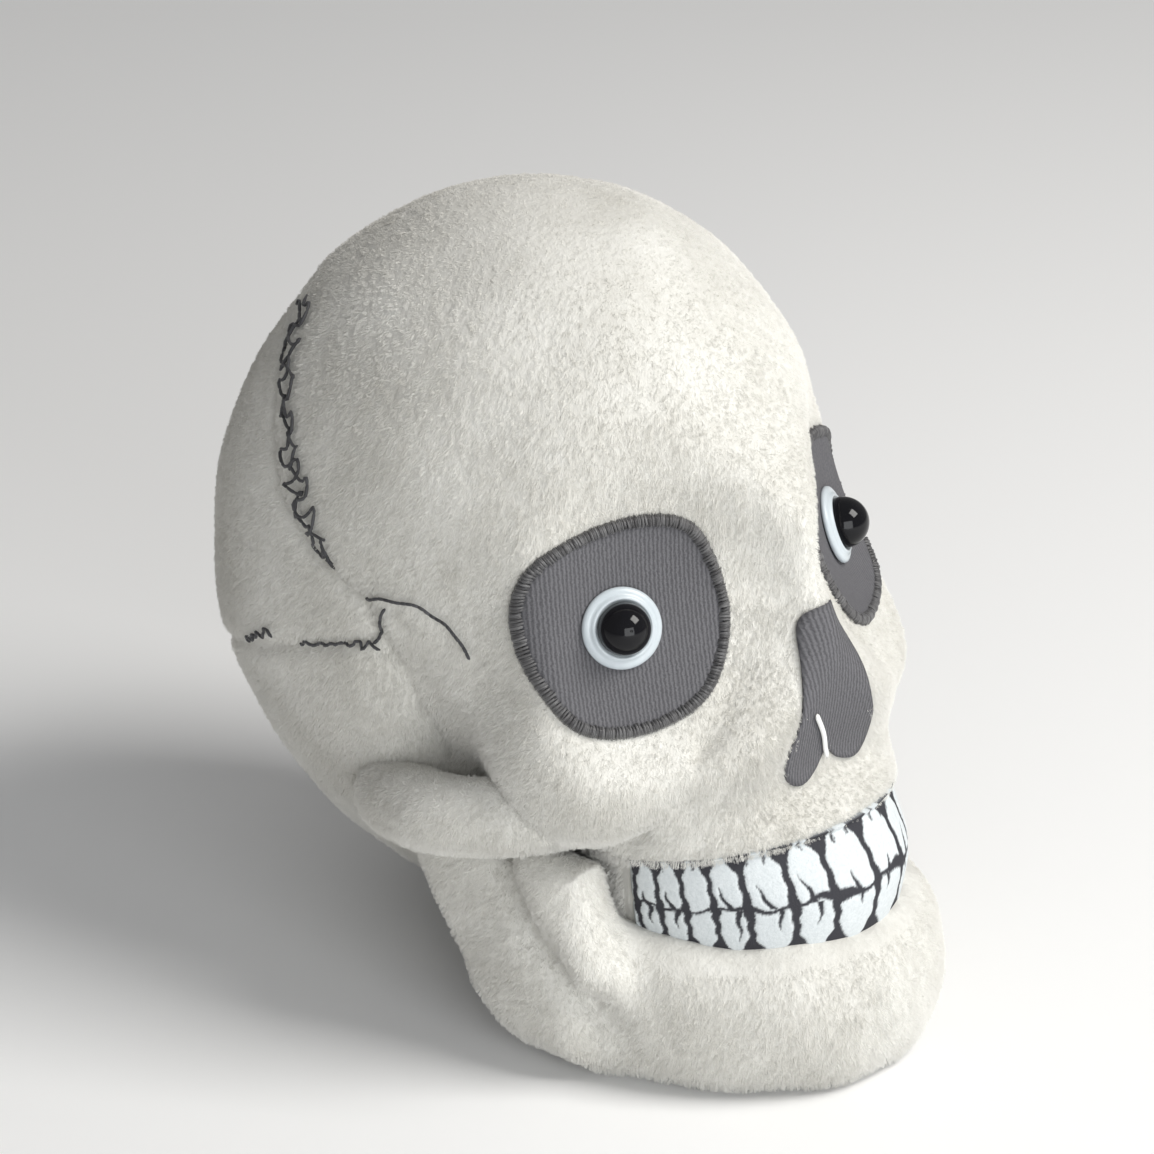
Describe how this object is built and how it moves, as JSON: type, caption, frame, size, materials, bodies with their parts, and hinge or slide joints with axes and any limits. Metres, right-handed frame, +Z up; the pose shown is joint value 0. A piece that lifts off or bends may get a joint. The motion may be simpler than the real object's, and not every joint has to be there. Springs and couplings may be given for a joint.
{
  "type": "plush skull decoration",
  "caption": "Stuffed plush skull with a sewn-on jaw, cheek arches, printed teeth band, grey eye and nose patches and spinning safety eyes.",
  "frame": {"origin": "on the floor, under the middle of the skull's bounding box", "axes": "+Z up; the face looks along -Y; +X is the skull's own left side"},
  "size_m": [0.1174, 0.172, 0.1655],
  "materials": {
    "plush": "short pile plush",
    "stuffing": "polyester fibre",
    "patch_cloth": "fine ribbed twill",
    "border_thread": "satin stitch",
    "suture_thread": "embroidery thread",
    "white_thread": "sewing thread",
    "teeth_print": "printed smooth cloth",
    "eye_black": "polished",
    "eye_white": "glossy moulded",
    "washer_plastic": "moulded"
  },
  "bodies": {
    "skull": {"arch_cover_left": "plush", "arch_cover_right": "plush", "arch_stuffing_left": "stuffing", "arch_stuffing_right": "stuffing", "base_panel": "plush", "closing_stitch": "white_thread", "coronal_suture_left": "suture_thread", "coronal_suture_right": "suture_thread", "crown_panel_left": "plush", "crown_panel_right": "plush", "eye_patch_border_left": "border_thread", "eye_patch_border_right": "border_thread", "eye_patch_left": "patch_cloth", "eye_patch_right": "patch_cloth", "face_panel": "plush", "head_stuffing": "stuffing", "jaw_cover": "plush", "jaw_lining": "plush", "jaw_stuffing": "stuffing", "muzzle_panel": "plush", "nose_patch": "patch_cloth", "nose_stitch": "white_thread", "ramus_cover_left": "plush", "ramus_cover_right": "plush", "squamous_suture_left": "suture_thread", "squamous_suture_right": "suture_thread", "teeth_band": "teeth_print", "temple_panel_left": "plush", "temple_panel_right": "plush", "temple_stitch_left": "suture_thread", "temple_stitch_right": "suture_thread"},
    "eye_left": {"eye_left": "eye_black", "eye_ring_left": "eye_white", "eye_washer_left": "washer_plastic"},
    "eye_right": {"eye_right": "eye_black", "eye_ring_right": "eye_white", "eye_washer_right": "washer_plastic"}
  },
  "joints": [
    {"name": "eye_left_spin", "type": "hinge", "parent": "skull", "child": "eye_left", "pos_m": [0.03375, -0.0418, 0.09694], "axis": [0.498, -0.7969, 0.342], "continuous": true},
    {"name": "eye_right_spin", "type": "hinge", "parent": "skull", "child": "eye_right", "pos_m": [-0.03375, -0.0418, 0.09694], "axis": [-0.498, -0.7969, 0.342], "continuous": true}
  ]
}
